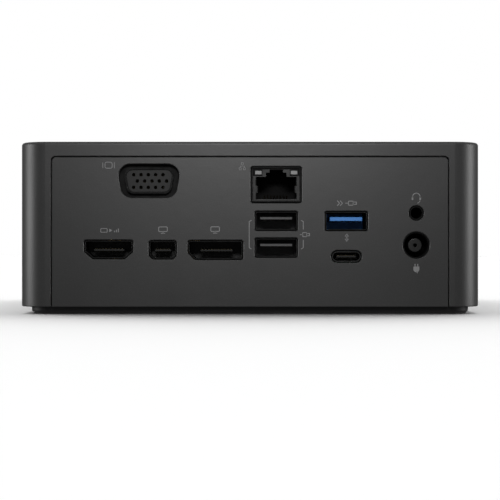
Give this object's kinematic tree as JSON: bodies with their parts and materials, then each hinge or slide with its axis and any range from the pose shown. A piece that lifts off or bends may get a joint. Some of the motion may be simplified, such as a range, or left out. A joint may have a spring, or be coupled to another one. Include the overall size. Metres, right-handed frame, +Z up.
{
  "type": "laptop docking station",
  "caption": "Square desktop dock: dark moulded cover over a recessed base, rear port panel, front sockets, side grilles, top power button, and boards, fan and heat sink inside.",
  "frame": {"origin": "on the table, under the centre of the box", "axes": "+Z up; -Y out of the rear port panel; +Y out of the front; +X to the right of someone facing the rear panel"},
  "size_m": [0.145, 0.145, 0.054],
  "materials": {
    "cover_plastic": "fine matt moulded texture, near black",
    "panel_plastic": "fine matt moulded texture, near black",
    "base_plastic": "matt moulded plastic",
    "grille_plastic": "matt moulded plastic",
    "foot_rubber": "matt rubber",
    "gland_rubber": "matt rubber",
    "black_steel": "black zinc",
    "plain_steel": "plain sheet steel",
    "port_metal": "dark nickel plate",
    "dark_shell": "black nickel plate",
    "insulator": "black moulded plastic",
    "socket_plastic": "dead black moulded plastic inside the sockets",
    "grey_tongue": "grey moulded plastic",
    "blue_tongue": "blue moulded plastic",
    "gold_contact": "gold flash",
    "light_pipe": "frosted clear plastic",
    "marking_ink": "pale grey pad-printed ink, 0.05 mm thick",
    "board": "green solder mask",
    "chip": "moulded package",
    "can": "drawn can",
    "coil": "pressed ferrite",
    "cable_socket": "ivory plastic",
    "ribbon": "flat cable with a light sleeve",
    "wire_sleeve": "black sleeve",
    "brass_spacer": "turned brass",
    "button_plastic": "satin moulded plastic",
    "light_ring": "milky light guide",
    "fan_plastic": "glass-filled plastic",
    "bearing_bronze": "sintered bronze",
    "magnet": "bonded ferrite",
    "stator_iron": "lacquered iron and copper",
    "copper": "copper",
    "fin_aluminium": "thin folded sheet",
    "pad": "soft thermal pad"
  },
  "bodies": {
    "housing": {"top_cover": "cover_plastic", "rear_panel": "panel_plastic", "base_plate": "base_plastic", "side_grilles": "grille_plastic", "foot_ring": "foot_rubber", "host_cable_gland": "gland_rubber", "io_bracket": "plain_steel", "lock_plate": "plain_steel", "case_screws": "black_steel", "board_screws": "black_steel", "cooler_screws": "black_steel", "standoffs": "brass_spacer", "main_board": "board", "dsub_board": "board", "audio_board": "board", "button_board": "board", "board_chips": "chip", "capacitors": "can", "power_coils": "coil", "cable_sockets": "cable_socket", "ribbon_cables": "ribbon", "fan_cable": "wire_sleeve", "button_light_ring": "light_ring", "tact_switch": "insulator", "fan_housing": "fan_plastic", "fan_cover": "plain_steel", "fan_bearing": "bearing_bronze", "fan_stator": "stator_iron", "thermal_pad": "pad", "cold_plate": "copper", "heat_pipe": "copper", "heat_sink_fins": "fin_aluminium", "dsub_shell": "dark_shell", "dsub_insulator": "insulator", "dsub_contacts": "gold_contact", "av_port_shell": "dark_shell", "av_port_tongue": "insulator", "small_video_shell": "dark_shell", "small_video_tongue": "insulator", "full_video_shell": "dark_shell", "full_video_tongue": "insulator", "usb_a_shells": "dark_shell", "usb_a_tongues": "blue_tongue", "usb_c_shell": "port_metal", "usb_c_tongue": "insulator", "stack_shield": "dark_shell", "stack_housing": "socket_plastic", "stack_usb_tongues": "grey_tongue", "lan_contacts": "gold_contact", "lan_frame": "port_metal", "lan_light_pipes": "light_pipe", "tongue_contacts": "gold_contact", "dc_jack_body": "socket_plastic", "dc_jack_post": "port_metal", "audio_jacks": "socket_plastic"},
    "power_button": {"power_button": "button_plastic", "switch_plunger": "insulator"},
    "fan_rotor": {"fan_impeller": "fan_plastic", "fan_shaft": "plain_steel", "rotor_magnet": "magnet"}
  },
  "joints": [
    {"name": "power_button_press", "type": "slide", "parent": "housing", "child": "power_button", "axis": [0, 0, -1], "range_m": [0, 0.0005], "stiffness_N_per_m": 3200},
    {"name": "fan_spin", "type": "hinge", "parent": "housing", "child": "fan_rotor", "pos_m": [-0.008, 0.01, 0.0285], "axis": [0, 0, 1], "continuous": true}
  ]
}
